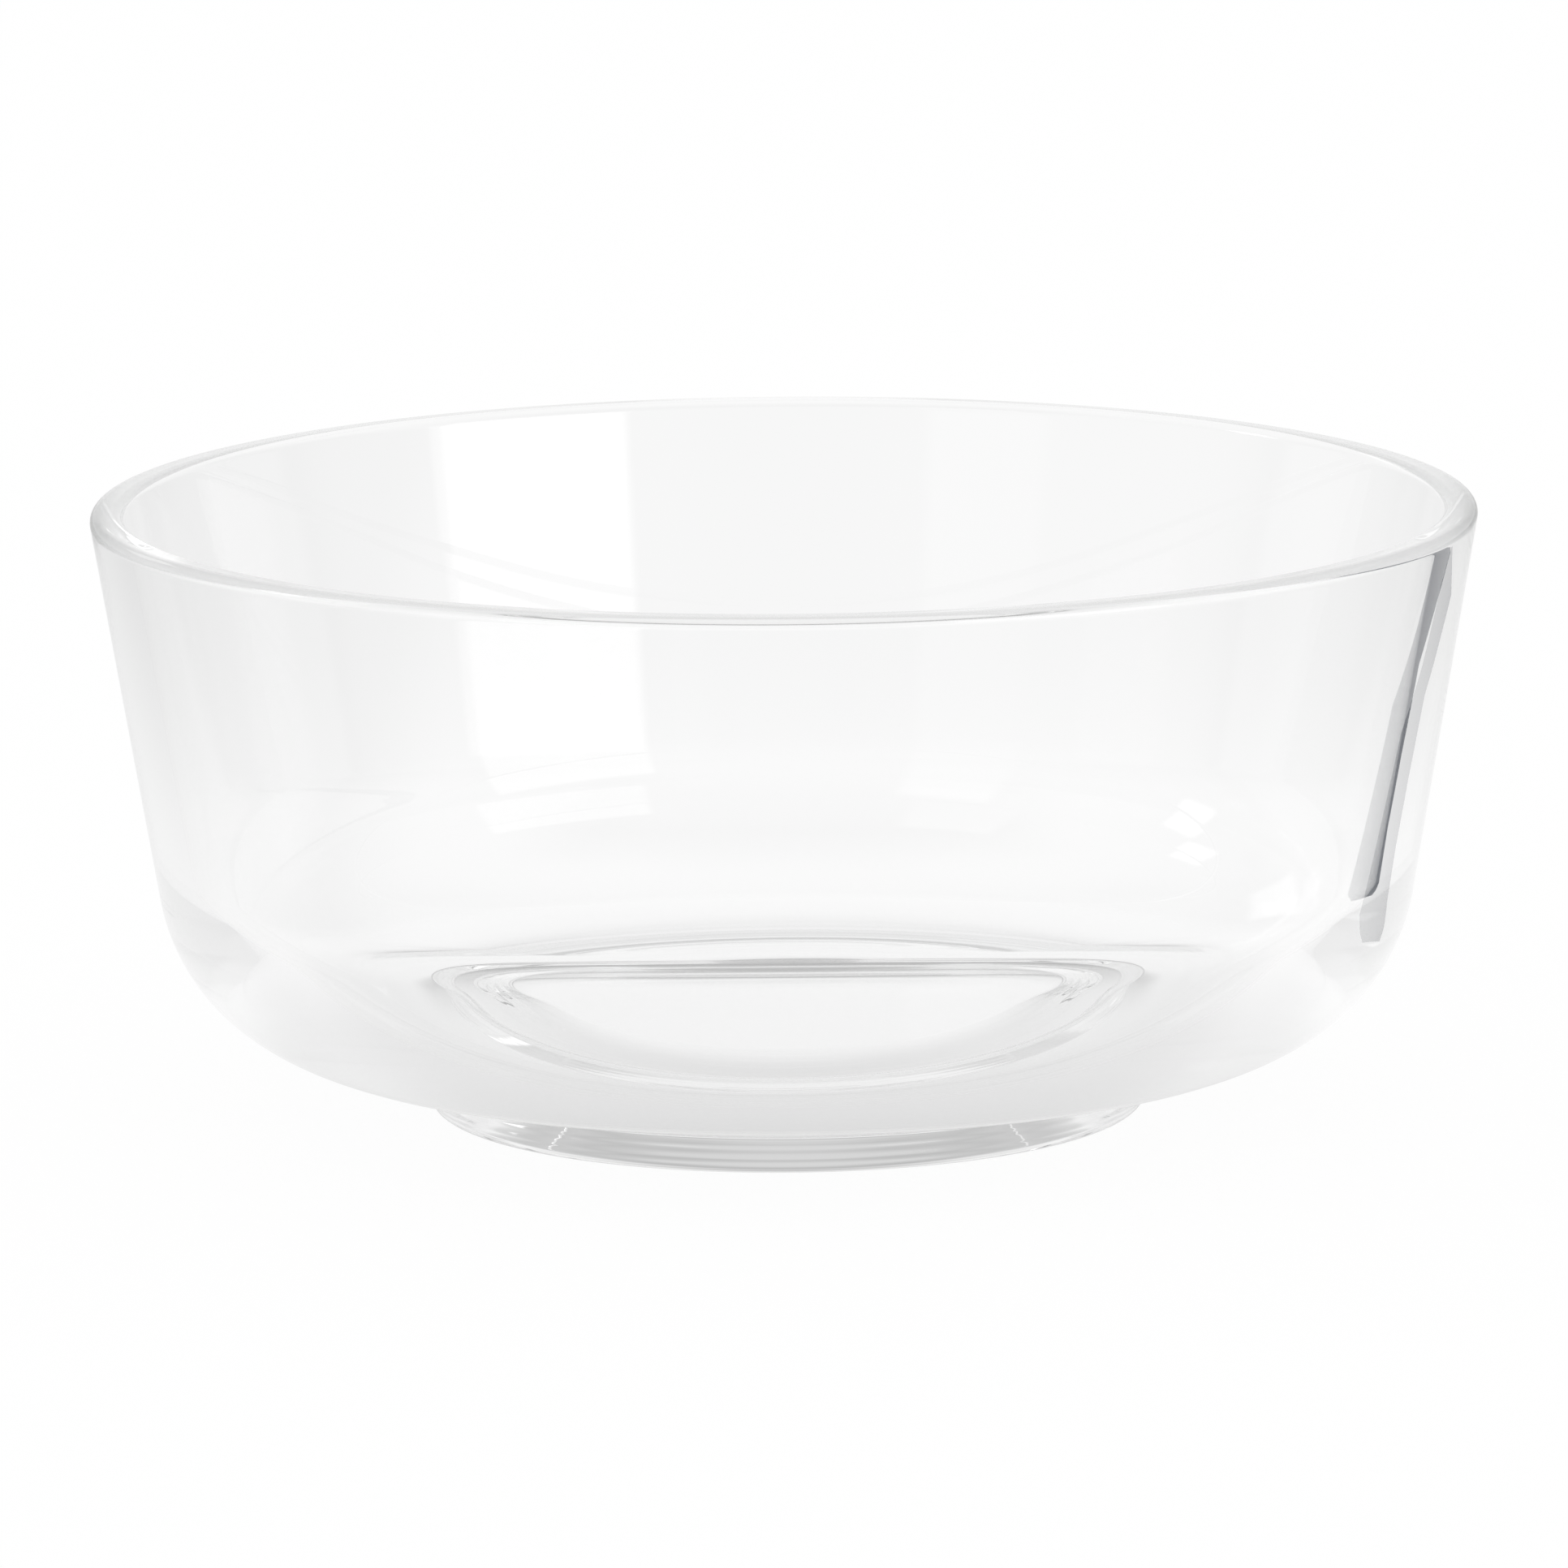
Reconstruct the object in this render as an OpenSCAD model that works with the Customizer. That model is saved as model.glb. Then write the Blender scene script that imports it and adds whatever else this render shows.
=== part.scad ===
// Clear pressed-glass bowl with slightly flared straight sides, a rounded lip
// and a low foot ring. One continuous piece of glass, in millimetres, +Z up.
// The origin is the centre of the circle on which the foot ring stands.

/* [Rim] */
// Outer diameter of the bowl at its lip
rim_d = 150; // [140:1:200]
// Thickness of the glass at the lip
lip_t = 3.5; // [2.6:0.1:6]
// Radius of the lip's outer edge
lip_outer_r = 1.2; // [0.3:0.1:1.3]
// Radius of the lip's inner edge
lip_inner_r = 1.2; // [0.3:0.1:1.3]

/* [Wall] */
// Height of the bowl from the table to the top of its lip
bowl_h = 66.2; // [56:0.1:95]
// Lean of the outer wall from upright, in degrees
outer_lean = 9.6; // [7:0.1:12]
// Lean of the inner wall from upright, in degrees
inner_lean = 10.1; // [8:0.1:13]
// Radius of the outer corner between wall and underside
outer_corner_r = 20.9; // [14:0.1:25]
// Radius of the inner corner between wall and floor
inner_corner_r = 24; // [19:0.1:30]

/* [Floor] */
// Thickness of the glass at the middle of the floor
floor_t = 4.4; // [3:0.1:9]
// Radius of the shallow curve that dishes the floor
floor_curve_r = 840; // [400:10:3000]
// Slope of the underside between the foot ring and the outer corner, in degrees
underside_slope = 5; // [2:0.5:9]

/* [Foot] */
// Diameter of the foot ring's outer wall where it meets the table
foot_d = 77.5; // [60:0.5:88]
// Height of the foot ring from the table to the underside beside it
foot_h = 5.6; // [4:0.1:6.8]
// Width of the foot ring at the table
foot_w = 3.2; // [2.6:0.1:8]
// Depth of the recess inside the foot ring
recess_depth = 3.4; // [2:0.1:4.5]
// Lean of the foot ring's outer wall from upright, in degrees
foot_lean = 8; // [2:0.5:14]
// Lean of the foot ring's inner wall from upright, in degrees
recess_lean = 52; // [20:1:60]
// Radius of the edges on which the foot ring stands
foot_edge_r = 1.3; // [0.3:0.1:1.6]
// Radius of the fillet between the foot ring and the underside
foot_fillet_r = 1; // [0.4:0.1:3]
// Radius of the fillet between the recess's wall and its ceiling
recess_fillet_r = 1; // [0.4:0.1:4]

/* [Hidden] */

rim_r = rim_d / 2;
foot_r = foot_d / 2;
recess_r = foot_r - foot_w;
floor_z = recess_depth + floor_t;

// Straight facets for each right angle of a large arc and of a small edge arc,
// and for the shallow curve of the floor
corner_steps = 24;
edge_steps = 10;
floor_steps = 8;
// Facets of a full turn about the bowl's axis
turn_steps = 180;

// A unit vector at angle a from the X axis
function unit(a) = [cos(a), sin(a)];

// Points along an arc about centre c with radius r from angle a0 to angle a1
function arc(c, r, a0, a1, steps) =
    [for (i = [0:steps]) c + r * unit(a0 + (a1 - a0) * i / steps)];

// How many steps a turn of the outline takes, from the steps of a right angle
function steps_of(turn, steps_per_quarter) = max(2, ceil(abs(turn) * steps_per_quarter / 90));

// Where two lines cross, each given as a point and a direction
function crossing(p, d, q, e) =
    let (w = q - p, k = (w.x * e.y - w.y * e.x) / (d.x * e.y - d.y * e.x))
    p + k * d;

// Rounds the corner at b between lines through a and c with radius r: the arc
// that touches both lines, in the order in which the outline meets them
function rounded(a, b, c, r, steps_per_quarter) =
    let (
        to_a = (a - b) / norm(a - b),
        to_c = (c - b) / norm(c - b),
        middle = (to_a + to_c) / norm(to_a + to_c),
        half = acos(to_a * middle),
        centre = b + middle * r / sin(half),
        first = b + to_a * r / tan(half) - centre,
        last = b + to_c * r / tan(half) - centre,
        a0 = atan2(first.y, first.x),
        turn = atan2(first.x * last.y - first.y * last.x, first * last)
    )
    arc(centre, r, a0, a0 + turn, steps_of(turn, steps_per_quarter));

// Corners of the outline before rounding, in the plane of radius and height.
// The lines of the wall are laid so that the lip's widest point is rim_r.
outer_top = [rim_r - lip_outer_r + lip_outer_r / cos(outer_lean)
             + lip_outer_r * tan(outer_lean), bowl_h];
inner_top = [rim_r - lip_t, bowl_h];
outer_way = -unit(90 - outer_lean);
inner_way = -unit(90 - inner_lean);
foot_foot = [foot_r, 0];
foot_way = unit(90 - foot_lean);
foot_top = crossing(foot_foot, foot_way, [0, foot_h], [1, 0]);
underside_way = unit(underside_slope);
outer_corner = crossing(outer_top, outer_way, foot_top, underside_way);
recess_foot = [recess_r, 0];
recess_way = [-sin(recess_lean), cos(recess_lean)];
recess_top = crossing(recess_foot, recess_way, [0, recess_depth], [1, 0]);

// The inner corner's arc touches the inner wall and the floor's shallow curve,
// whose centre is far above the bowl: its own centre lies one corner radius
// inside the wall, and as far from the floor's centre as the radii differ
floor_centre = [0, floor_z + floor_curve_r];
inner_side = [inner_way.y, -inner_way.x];
beside_wall = inner_top + inner_corner_r * inner_side - floor_centre;
along_wall = beside_wall * inner_way;
inner_centre = floor_centre + beside_wall + inner_way * (
    sqrt(pow(along_wall, 2) - beside_wall * beside_wall
         + pow(floor_curve_r - inner_corner_r, 2)) - along_wall);
from_floor_centre = inner_centre - floor_centre;
touch_angle = atan2(from_floor_centre.y, from_floor_centre.x);
inner_arc = arc(inner_centre, inner_corner_r, touch_angle, -inner_lean,
                steps_of(touch_angle + inner_lean, corner_steps));

// The bowl's section from the middle of the floor over the lip to the recess
function section() = concat(
    [[0, recess_depth]],
    arc(floor_centre, floor_curve_r, -90, touch_angle, floor_steps),
    [for (i = [1:len(inner_arc) - 1]) inner_arc[i]],
    rounded(inner_arc[len(inner_arc) - 1], inner_top, outer_top, lip_inner_r, edge_steps),
    rounded(inner_top, outer_top, outer_corner, lip_outer_r, edge_steps),
    rounded(outer_top, outer_corner, foot_top, outer_corner_r, corner_steps),
    rounded(outer_corner, foot_top, foot_foot, foot_fillet_r, edge_steps),
    rounded(foot_top, foot_foot, recess_foot, foot_edge_r, edge_steps),
    rounded(foot_foot, recess_foot, recess_top, foot_edge_r, edge_steps),
    rounded(recess_foot, recess_top, [0, recess_depth], recess_fillet_r, edge_steps)
);

// The whole bowl: wall, lip, floor and foot ring are one turned section
module bowl() {
    color([0.9, 0.94, 0.94, 0.4])
        rotate_extrude(angle = 360, $fn = turn_steps)
            polygon(section());
}

bowl();
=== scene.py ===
"""A clear pressed-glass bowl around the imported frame: glass, soft studio, camera."""
import math

import bpy
from mathutils import Matrix, Vector, noise


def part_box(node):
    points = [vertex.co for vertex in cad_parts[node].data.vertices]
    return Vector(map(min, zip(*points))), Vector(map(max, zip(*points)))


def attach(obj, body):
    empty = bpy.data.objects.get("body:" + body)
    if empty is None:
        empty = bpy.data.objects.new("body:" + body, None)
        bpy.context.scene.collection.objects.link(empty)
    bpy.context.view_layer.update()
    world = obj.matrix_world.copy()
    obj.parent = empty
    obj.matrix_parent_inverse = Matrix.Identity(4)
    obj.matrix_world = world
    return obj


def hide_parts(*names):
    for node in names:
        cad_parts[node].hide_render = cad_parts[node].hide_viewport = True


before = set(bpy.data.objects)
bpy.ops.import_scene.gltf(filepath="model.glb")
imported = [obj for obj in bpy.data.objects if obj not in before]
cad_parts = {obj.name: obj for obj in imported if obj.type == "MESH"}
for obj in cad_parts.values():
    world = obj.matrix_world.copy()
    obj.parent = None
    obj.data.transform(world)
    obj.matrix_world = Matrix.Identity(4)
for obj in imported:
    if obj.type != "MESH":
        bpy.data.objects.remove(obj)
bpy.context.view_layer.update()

MM = 0.001

# The bowl's sizes: the outer ones come from the frame, the others are those of the solid
box_high = Vector(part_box("bowl")[1])
rim_r = box_high.x
bowl_h = box_high.z
lip_t = 3.5 * MM
lip_outer_r = 1.2 * MM
lip_inner_r = 1.2 * MM
outer_lean = math.radians(9.6)
inner_lean = math.radians(10.1)
outer_corner_r = 20.9 * MM
inner_corner_r = 24 * MM
floor_curve_r = 840 * MM
floor_t = 4.4 * MM
underside_slope = math.radians(5)
foot_r = 38.75 * MM
foot_h = 5.6 * MM
foot_w = 3.2 * MM
recess_depth = 3.4 * MM
foot_lean = math.radians(8)
recess_lean = math.radians(52)
foot_edge_r = 1.3 * MM
foot_fillet_r = 1 * MM
recess_fillet_r = 1 * MM
recess_r = foot_r - foot_w
floor_z = recess_depth + floor_t

# How finely the section is turned, and its corners and edges are rounded
turns = 300
corner_step = math.radians(1.5)
edge_step = math.radians(4.5)
# How many steps a straight line of the section takes, and about how long each is
least_steps, most_steps = 6, 22
step_length = 2.2 * MM
floor_steps = 30

# The pressing's unevenness: fine rings on the recess's wall, as depth, wavelength and phase, and how
# far from the wall's ends they fade out
ring_ripples = [(0.012 * MM, 1.4 * MM, 0.4), (0.007 * MM, 0.8 * MM, 2.1)]
ripple_fade = 0.5 * MM
# and slow waves over the inner side: how deep and how wide they are, where in the noise they start,
# and how far below the lip they fade out
wave_depth = 0.05 * MM
wave_size = 34 * MM
wave_start = Vector((3.7, 1.3, 5.1))
wave_fade = 14 * MM

# The glass: refractive index, body colour and how strongly it shows, and the light that its shadow keeps
glass_index = 1.52
glass_body = (0.9, 0.904, 0.903)
glass_density = 1.5
shadow_light = (0.93, 0.93, 0.93)

# The camera, as far away as in the photograph and looking a little down
camera_distance = 1.5
camera_elevation = math.radians(9.218)
camera_aim = Vector((-0.2 * MM, 0, 35.1 * MM))
camera_roll = math.radians(-0.44)
camera_lens = 318.36
camera_sensor = 36

# The studio: how bright the glass's surroundings are along an arch over the bowl, from the horizon
# behind it (0 degrees) to the one on the camera's side (180): in the middle, on the arch's flanks
# and out at its sides
arch_levels = [
    (0, 0.96, 0.94, 0.93), (17, 0.96, 0.8, 0.9), (25, 0.88, 0.64, 0.72), (37, 0.82, 0.52, 0.68),
    (48, 0.62, 0.58, 0.74), (57, 0.46, 0.52, 0.76), (68, 0.52, 0.58, 0.77), (78, 0.66, 0.72, 0.78),
    (90, 0.7, 0.78, 0.8), (102, 0.62, 0.7, 0.84), (116, 0.35, 0.35, 0.86), (134, 0.25, 0.3, 0.88),
    (146, 0.6, 0.6, 0.9), (158, 0.84, 0.86, 0.94), (180, 0.84, 0.88, 0.92),
]
flank_start = (0.2, 0.36)
side_start = (0.52, 0.8)
# Soft boxes: brightness, azimuth from the camera's side, elevation, softness of the edge, in degrees
soft_boxes = [
    (1.95, (28, 64), (4, 27), 1.0),
    (1.15, (-48, -26), (8, 40), 2.0),
    (3.0, (-102, -92), (18, 30), 1.5),
    (1.4, (-150, -138), (17, 28), 1.5),
]
# The table: how far it reaches each way, how far it lies below the foot, and its own whiteness
table_reach = 6
table_drop = 0.05 * MM
table_white = 0.97
# Share of the table's brightness that no shadow dims
table_glow = 0.95
# How bright the table is around the bowl's axis, as distance and level: a painted shadow, dark where the
# foot ring presses on it, a little grey under the belly; and painted shade falling off to the left and right
painted_table_shade = [(29 * MM, 0.94), (34 * MM, 0.8), (38 * MM, 0.83), (43 * MM, 0.82), (60 * MM, 0.88),
                (75 * MM, 1), (300 * MM, 0.94)]
# and a darker painted shadow behind the foot, where the bowl stands in its own shadow
painted_back_shadow = [(33 * MM, 1), (36 * MM, 0.34), (40.5 * MM, 0.34), (45 * MM, 1.1), (60 * MM, 1.1),
               (75 * MM, 1)]
painted_back_shadow_start = (-16 * MM, 26 * MM)
painted_side_shade = [(-45 * MM, -62 * MM, 0.96), (-70 * MM, -215 * MM, 0.83), (80 * MM, 220 * MM, 0.78)]
# and a little painted shade towards the camera, under the front of the belly
painted_front_shade = (-20 * MM, -42 * MM, 1.0, 0.9)
# A painted shadow: a grey card lying just above the table, behind the bowl, which gives the right wall its
# dark edge: the middle of its outline from end to end in mm, half its width there, its height and its colour
shadow_card_line = [((99.5, 25.5), 8), ((110.5, 31.5), 12), ((122.5, 45), 11), ((136.5, 63), 11),
             ((155, 90.5), 12), ((171, 129), 8), ((183, 172), 13), ((188, 204), 14)]
shadow_card_height = 0.2 * MM
painted_shadow_grey = (0.05, 0.06, 0.08)
# Rays with many bounces behind them see one even level instead of the surroundings, or else the lip
# comes out speckled: the level, and between which bounces it comes in
deep_level = 0.83
deep_start = (12, 20)
# How far a ray is followed inside the glass, so that the lip's light isn't cut off
glass_bounces = 512


def crossing(point, way, other_point, other_way):
    """Where two lines of the section cross, each given as a point and a direction."""
    between = other_point - point
    share = between.cross(other_way) / way.cross(other_way)
    return point + share * way


def arc(centre, radius, start, end, step):
    """Points along an arc about a centre, from one angle to another."""
    steps = max(3, math.ceil(abs(end - start) / step))
    angles = [start + (end - start) * i / steps for i in range(steps + 1)]
    return [centre + radius * Vector((math.cos(a), math.sin(a))) for a in angles]


def rounded(before, corner, after, radius, step):
    """The arc that rounds a corner of the section, from the line to before to the line to after."""
    to_before = (before - corner).normalized()
    to_after = (after - corner).normalized()
    middle = (to_before + to_after).normalized()
    half = to_before.angle(middle)
    centre = corner + middle * (radius / math.sin(half))
    first = corner + to_before * (radius / math.tan(half)) - centre
    last = corner + to_after * (radius / math.tan(half)) - centre
    start = math.atan2(first.y, first.x)
    turn = math.atan2(first.cross(last), first.dot(last))
    return arc(centre, radius, start, start + turn, step)


def rippled(points):
    """Pushes points along a straight wall out and in by the fine rings of the mould."""
    way = (points[-1] - points[0]).normalized()
    side = Vector((-way.y, way.x))
    moved = []
    for point in points:
        along = (point - points[0]).length
        to_end = (point - points[-1]).length
        fade = min(1, along / ripple_fade, to_end / ripple_fade)
        push = 0
        for depth, length, phase in ring_ripples:
            push += depth * math.sin(2 * math.pi * along / length + phase)
        moved.append(point + side * push * fade)
    return moved


def straight(start, end, least):
    """Points between two ends, closer together near each, without the ends, in least steps or more."""
    steps = min(most_steps, max(least, round((end - start).length / step_length)))
    shares = [(1 - math.cos(math.pi * i / steps)) / 2 for i in range(1, steps)]
    return [start.lerp(end, share) for share in shares]


def section():
    """The bowl's section, from the middle of its floor over the lip to the middle of its recess, and
    the number of its point where the inner side meets the lip."""
    widen = lip_outer_r / math.cos(outer_lean) + lip_outer_r * math.tan(outer_lean)
    outer_top = Vector((rim_r - lip_outer_r + widen, bowl_h))
    inner_top = Vector((rim_r - lip_t, bowl_h))
    outer_way = -Vector((math.sin(outer_lean), math.cos(outer_lean)))
    foot_foot = Vector((foot_r, 0))
    foot_way = Vector((math.sin(foot_lean), math.cos(foot_lean)))
    level = Vector((1, 0))
    foot_top = crossing(foot_foot, foot_way, Vector((0, foot_h)), level)
    underside_way = Vector((math.cos(underside_slope), math.sin(underside_slope)))
    outer_corner = crossing(outer_top, outer_way, foot_top, underside_way)
    inner_way = -Vector((math.sin(inner_lean), math.cos(inner_lean)))
    recess_middle = Vector((0, recess_depth))
    recess_foot = Vector((recess_r, 0))
    recess_way = Vector((-math.sin(recess_lean), math.cos(recess_lean)))
    recess_top = crossing(recess_foot, recess_way, recess_middle, level)
    inner_side = Vector((inner_way.y, -inner_way.x))
    floor_centre = Vector((0, floor_z + floor_curve_r))
    beside_wall = inner_top + inner_side * inner_corner_r - floor_centre
    along_wall = beside_wall.dot(inner_way)
    apart = floor_curve_r - inner_corner_r
    reach = math.sqrt(along_wall ** 2 - beside_wall.length_squared + apart ** 2) - along_wall
    inner_centre = floor_centre + beside_wall + inner_way * reach
    touch = math.atan2(inner_centre.y - floor_centre.y, inner_centre.x - floor_centre.x)
    floor_step = (touch + math.pi / 2) / floor_steps
    points = arc(floor_centre, floor_curve_r, -math.pi / 2, touch, floor_step)
    points += arc(inner_centre, inner_corner_r, touch, -inner_lean, corner_step)[1:]
    inner = len(points) + most_steps - 1
    corners = [
        (points[-1], None, None),
        (inner_top, lip_inner_r, edge_step),
        (outer_top, lip_outer_r, edge_step),
        (outer_corner, outer_corner_r, corner_step),
        (foot_top, foot_fillet_r, edge_step),
        (foot_foot, foot_edge_r, edge_step),
        (recess_foot, foot_edge_r, edge_step),
        (recess_top, recess_fillet_r, edge_step),
        (recess_middle, None, None),
    ]
    for (before, _, _), (corner, radius, step), (after, _, _) in zip(corners, corners[1:], corners[2:]):
        bend = rounded(before, corner, after, radius, step)
        fine = corner in (inner_top, recess_top)
        wall = straight(points[-1], bend[0], most_steps if fine else least_steps)
        if corner is recess_top:
            wall = rippled([points[-1], *wall, bend[0]])[1:-1]
        points += wall + bend
    return points + straight(points[-1], recess_middle, least_steps) + [recess_middle], inner


def turned(points, inner, name):
    """A closed mesh made by turning a section about the Z axis, with slow waves up to the inner point."""
    rings = points[1:-1]
    angles = [2 * math.pi * k / turns for k in range(turns)]
    up = Vector((0, 0, 1))

    def wave(place):
        return wave_depth * noise.noise(place / wave_size + wave_start)

    verts = [up * (points[0].y + wave(up * points[0].y)), up * points[-1].y]
    for k, point in enumerate(rings, 1):
        way = (points[k + 1] - points[k - 1]).normalized()
        fade = min(1, (points[inner] - point).length / wave_fade) ** 2 if k < inner else 0
        for a in angles:
            out = Vector((math.cos(a), math.sin(a), 0))
            place = out * point.x + up * point.y
            verts.append(place + (out * -way.y + up * way.x) * (fade * wave(place)))

    def at(ring, k):
        return 2 + ring * turns + k % turns

    faces = []
    for k in range(turns):
        faces.append((0, at(0, k), at(0, k + 1)))
        faces.append((1, at(len(rings) - 1, k + 1), at(len(rings) - 1, k)))
        for ring in range(len(rings) - 1):
            faces.append((at(ring, k), at(ring + 1, k), at(ring + 1, k + 1), at(ring, k + 1)))
    mesh = bpy.data.meshes.new(name)
    mesh.from_pydata(verts, [], faces)
    mesh.validate()
    for face in mesh.polygons:
        face.use_smooth = True
    piece = bpy.data.objects.new(name, mesh)
    bpy.context.collection.objects.link(piece)
    return piece


def new_material(name):
    """An empty node material, its nodes and its links."""
    material = bpy.data.materials.new(name)
    material.use_nodes = True
    nodes = material.node_tree.nodes
    nodes.clear()
    return material, nodes, material.node_tree.links


def clear_glass():
    """Clear soda-lime glass with a faint grey-green body colour."""
    material, nodes, links = new_material("clear_glass")
    out = nodes.new("ShaderNodeOutputMaterial")
    glass = nodes.new("ShaderNodeBsdfGlass")
    glass.inputs["IOR"].default_value = glass_index
    glass.inputs["Roughness"].default_value = 0
    glass.inputs["Color"].default_value = (1, 1, 1, 1)
    see_through = nodes.new("ShaderNodeBsdfTransparent")
    see_through.inputs["Color"].default_value = (*shadow_light, 1)
    path = nodes.new("ShaderNodeLightPath")
    mix = nodes.new("ShaderNodeMixShader")
    links.new(path.outputs["Is Shadow Ray"], mix.inputs["Fac"])
    links.new(glass.outputs["BSDF"], mix.inputs[1])
    links.new(see_through.outputs["BSDF"], mix.inputs[2])
    links.new(mix.outputs["Shader"], out.inputs["Surface"])
    body = nodes.new("ShaderNodeVolumeAbsorption")
    body.inputs["Color"].default_value = (*glass_body, 1)
    body.inputs["Density"].default_value = glass_density
    links.new(body.outputs["Volume"], out.inputs["Volume"])
    return material


def put(links, value, socket):
    """Sets a socket to a number, or links a node's output to it."""
    if isinstance(value, (int, float)):
        socket.default_value = value
    else:
        links.new(value, socket)


def calc(nodes, links, operation, a, b=0.0):
    """A math node on two values, each a number or a node's output."""
    node = nodes.new("ShaderNodeMath")
    node.operation = operation
    put(links, a, node.inputs[0])
    put(links, b, node.inputs[1])
    return node.outputs["Value"]


def smooth_step(nodes, links, value, start, end, low=0.0, high=1.0):
    """A smooth change from low to high while the value goes from start to end."""
    node = nodes.new("ShaderNodeMapRange")
    node.interpolation_type = "SMOOTHSTEP"
    put(links, value, node.inputs["Value"])
    for name, number in (("From Min", start), ("From Max", end), ("To Min", low), ("To Max", high)):
        node.inputs[name].default_value = number
    return node.outputs["Result"]


def evened(nodes, links, path, level):
    """A brightness that goes over to the even level for rays with many bounces behind them."""
    deep = smooth_step(nodes, links, path.outputs["Ray Depth"], *deep_start)
    rest = calc(nodes, links, "SUBTRACT", deep_level, level)
    return calc(nodes, links, "ADD", level, calc(nodes, links, "MULTIPLY", deep, rest))


def studio_world():
    """Plain white for the camera and the table, and softly uneven surroundings for the glass."""
    world = bpy.data.worlds.new("studio")
    bpy.context.scene.world = world
    world.use_nodes = True
    nodes, links = world.node_tree.nodes, world.node_tree.links
    nodes.clear()
    coordinates = nodes.new("ShaderNodeTexCoord")
    split = nodes.new("ShaderNodeSeparateXYZ")
    links.new(coordinates.outputs["Generated"], split.inputs["Vector"])

    def blend(share, under, over):
        node = nodes.new("ShaderNodeMix")
        put(links, share, node.inputs[0])
        put(links, under, node.inputs[2])
        put(links, over, node.inputs[3])
        return node.outputs[0]

    x, y, z = split.outputs
    toward_camera = calc(nodes, links, "MULTIPLY", y, -1.0)
    arch = calc(nodes, links, "ARCTAN2", z, y)
    arch = calc(nodes, links, "MULTIPLY", arch, 1 / math.pi)
    azimuth = calc(nodes, links, "ARCTAN2", x, toward_camera)
    azimuth = calc(nodes, links, "MULTIPLY", azimuth, math.degrees(1))
    elevation = calc(nodes, links, "ARCSINE", z)
    elevation = calc(nodes, links, "MULTIPLY", elevation, math.degrees(1))

    def patch(level, value, turn, rise, soft):
        """Mixes value into level over a rectangle of azimuth and elevation."""
        share = 1.0
        for angle, (start, end) in ((azimuth, turn), (elevation, rise)):
            rising = smooth_step(nodes, links, angle, start - soft, start + soft)
            share = calc(nodes, links, "MULTIPLY", share, rising)
            falling = smooth_step(nodes, links, angle, end + soft, end - soft)
            share = calc(nodes, links, "MULTIPLY", share, falling)
        return blend(share, level, value)

    along_arch = nodes.new("ShaderNodeValToRGB")
    links.new(arch, along_arch.inputs["Fac"])
    stops = along_arch.color_ramp.elements
    while len(stops) < len(arch_levels):
        stops.new(1)
    for stop, (angle, *_) in zip(stops, arch_levels):
        stop.position = angle / 180
    for stop, (_, *levels) in zip(stops, arch_levels):
        stop.color = (*levels, 1)
    parts = nodes.new("ShaderNodeSeparateColor")
    links.new(along_arch.outputs["Color"], parts.inputs["Color"])
    middle, flank, side = parts.outputs
    aside = calc(nodes, links, "ABSOLUTE", x)
    level = blend(smooth_step(nodes, links, aside, *flank_start), middle, flank)
    level = blend(smooth_step(nodes, links, aside, *side_start), level, side)
    for value, turn, rise, soft in soft_boxes:
        level = patch(level, value, turn, rise, soft)
    path = nodes.new("ShaderNodeLightPath")
    level = evened(nodes, links, path, level)
    surroundings = nodes.new("ShaderNodeBackground")
    links.new(level, surroundings.inputs["Color"])
    plain = nodes.new("ShaderNodeBackground")
    plain.inputs["Color"].default_value = (1, 1, 1, 1)
    sees_plain = calc(nodes, links, "MAXIMUM", path.outputs["Is Camera Ray"], path.outputs["Is Diffuse Ray"])
    mix = nodes.new("ShaderNodeMixShader")
    links.new(sees_plain, mix.inputs["Fac"])
    links.new(surroundings.outputs["Background"], mix.inputs[1])
    links.new(plain.outputs["Background"], mix.inputs[2])
    out = nodes.new("ShaderNodeOutputWorld")
    links.new(mix.outputs["Shader"], out.inputs["Surface"])


def plane(name, corners, height):
    """A flat piece of the stage, from its corners in order."""
    mesh = bpy.data.meshes.new(name)
    mesh.from_pydata([(x, y, height) for x, y in corners], [], [tuple(range(len(corners)))])
    piece = bpy.data.objects.new(name, mesh)
    bpy.context.collection.objects.link(piece)
    return piece


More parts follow.
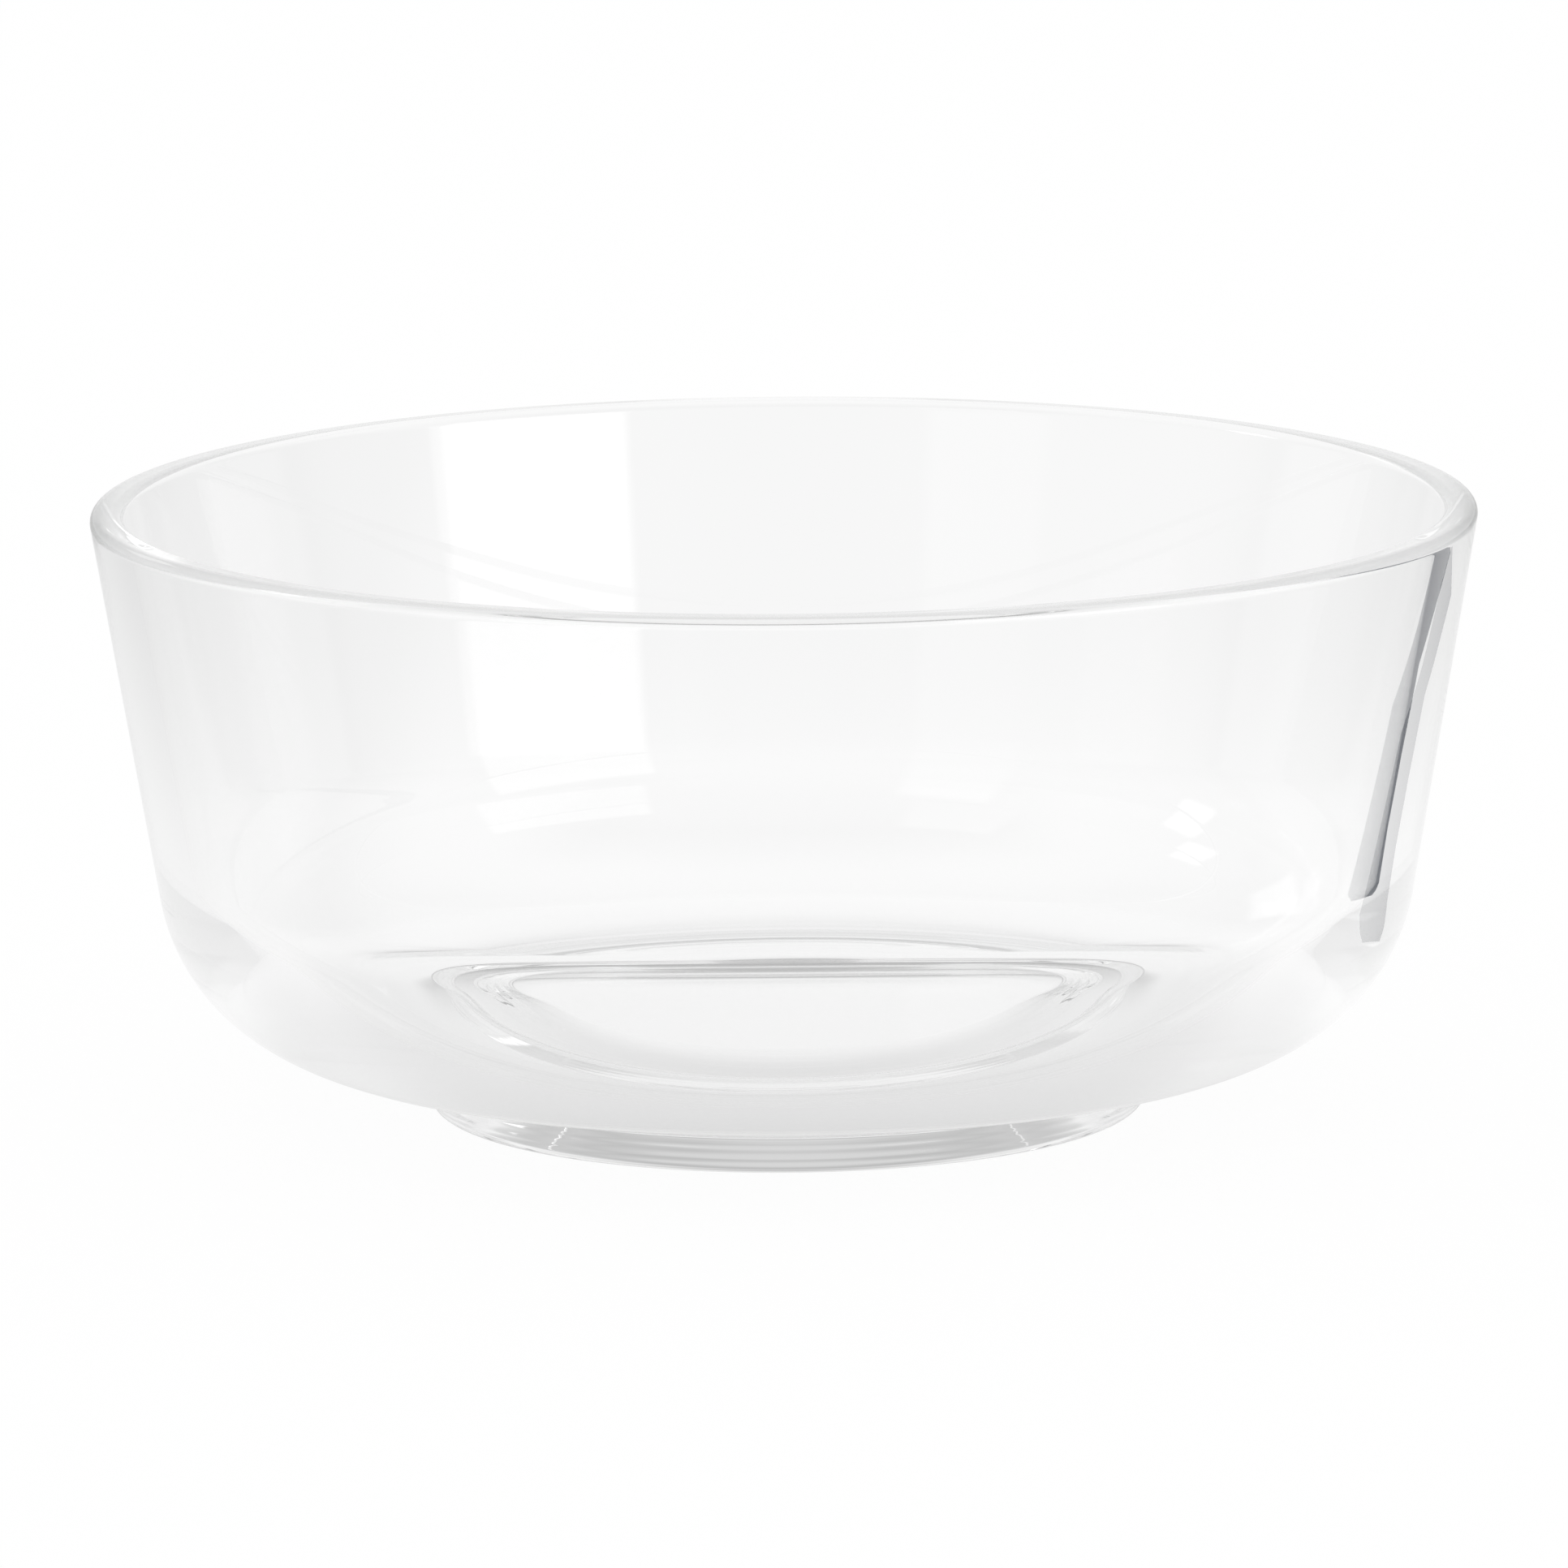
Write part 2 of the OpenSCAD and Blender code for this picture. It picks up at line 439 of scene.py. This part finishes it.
def studio_table():
    """A wide white table that keeps part of the bowl's shadow, with painted shade around the bowl that the
    camera sees only through the glass.
    """
    ways = [(-1, -1), (1, -1), (1, 1), (-1, 1)]
    table = plane("table", [(x * table_reach, y * table_reach) for x, y in ways], -table_drop)
    material, nodes, links = new_material("white_table_painted_shade")
    place = nodes.new("ShaderNodeNewGeometry")
    apart = nodes.new("ShaderNodeVectorMath")
    apart.operation = "LENGTH"
    links.new(place.outputs["Position"], apart.inputs[0])
    split = nodes.new("ShaderNodeSeparateXYZ")
    links.new(place.outputs["Position"], split.inputs["Vector"])

    def by_distance(levels):
        """A level that changes with the distance from the bowl's axis."""
        level = levels[0][1]
        for (start, low), (end, high) in zip(levels, levels[1:]):
            change = smooth_step(nodes, links, apart.outputs["Value"], start, end, 0.0, high - low)
            level = calc(nodes, links, "ADD", level, change)
        return level

    # Painted shade on the table: a painted shadow behind the foot, and shade by distance, towards the camera
    # and to the sides
    behind = smooth_step(nodes, links, split.outputs["Y"], *painted_back_shadow_start)
    shade = calc(nodes, links, "SUBTRACT", by_distance(painted_back_shadow), 1)
    shade = calc(nodes, links, "MULTIPLY", behind, shade)
    shade = calc(nodes, links, "ADD", shade, 1)
    level = calc(nodes, links, "MULTIPLY", by_distance(painted_table_shade), shade)
    painted_fall = smooth_step(nodes, links, split.outputs["Y"], *painted_front_shade)
    level = calc(nodes, links, "MULTIPLY", level, painted_fall)
    for start, end, low in painted_side_shade:
        near, far = sorted((start, end))
        ends = (1.0, low) if near == start else (low, 1.0)
        painted_fall = smooth_step(nodes, links, split.outputs["X"], near, far, *ends)
        level = calc(nodes, links, "MULTIPLY", level, painted_fall)
    path = nodes.new("ShaderNodeLightPath")
    level = evened(nodes, links, path, level)
    level = calc(nodes, links, "MAXIMUM", level, path.outputs["Is Camera Ray"])
    not_diffuse = calc(nodes, links, "SUBTRACT", 1, path.outputs["Is Diffuse Ray"])
    shown = calc(nodes, links, "MULTIPLY", not_diffuse, table_glow)
    white = nodes.new("ShaderNodeBsdfDiffuse")
    links.new(calc(nodes, links, "MULTIPLY", level, table_white), white.inputs["Color"])
    glow = nodes.new("ShaderNodeEmission")
    links.new(level, glow.inputs["Strength"])
    mix = nodes.new("ShaderNodeMixShader")
    links.new(shown, mix.inputs["Fac"])
    links.new(white.outputs["BSDF"], mix.inputs[1])
    links.new(glow.outputs["Emission"], mix.inputs[2])
    out = nodes.new("ShaderNodeOutputMaterial")
    links.new(mix.outputs["Shader"], out.inputs["Surface"])
    table.data.materials.append(material)


def studio_shadow_card():
    """A grey card on the table, a painted shadow of the bowl that only the glass sees."""
    left, right = [], []
    for k, ((x, y), half) in enumerate(shadow_card_line):
        (x0, y0), _ = shadow_card_line[max(k - 1, 0)]
        (x1, y1), _ = shadow_card_line[min(k + 1, len(shadow_card_line) - 1)]
        side = Vector((y1 - y0, x0 - x1)).normalized() * half
        right.append(((x + side.x) * MM, (y + side.y) * MM))
        left.append(((x - side.x) * MM, (y - side.y) * MM))
    card = plane("painted_shadow_card", right + left[::-1], shadow_card_height)
    card.visible_camera = False
    card.visible_diffuse = False
    card.visible_shadow = False
    material, nodes, links = new_material("painted_shadow_card")
    # The card's dark grey glow is the painted shadow itself.
    glow = nodes.new("ShaderNodeEmission")
    glow.inputs["Color"].default_value = (*painted_shadow_grey, 1)
    out = nodes.new("ShaderNodeOutputMaterial")
    links.new(glow.outputs["Emission"], out.inputs["Surface"])
    card.data.materials.append(material)


def studio_camera():
    """The photograph's view: a long lens a little above the rim."""
    data = bpy.data.cameras.new("camera")
    camera = bpy.data.objects.new("camera", data)
    bpy.context.collection.objects.link(camera)
    place = Vector((0, -math.cos(camera_elevation), math.sin(camera_elevation))) * camera_distance
    camera.location = place + Vector((0, 0, bowl_h))
    aim = (camera_aim - camera.location).to_track_quat("-Z", "Y").to_matrix()
    camera.rotation_euler = (aim @ Matrix.Rotation(camera_roll, 3, "Z")).to_euler()
    data.sensor_width = camera_sensor
    data.lens = camera_lens
    data.clip_end = 100
    bpy.context.scene.camera = camera


bowl = turned(*section(), "glass_bowl")
bowl.data.materials.append(clear_glass())
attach(bowl, "root")
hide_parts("bowl")

studio_world()
studio_table()
studio_shadow_card()
studio_camera()

scene = bpy.context.scene
scene.view_settings.view_transform = "Standard"
scene.cycles.max_bounces = glass_bounces
scene.cycles.transmission_bounces = glass_bounces
scene.cycles.glossy_bounces = glass_bounces
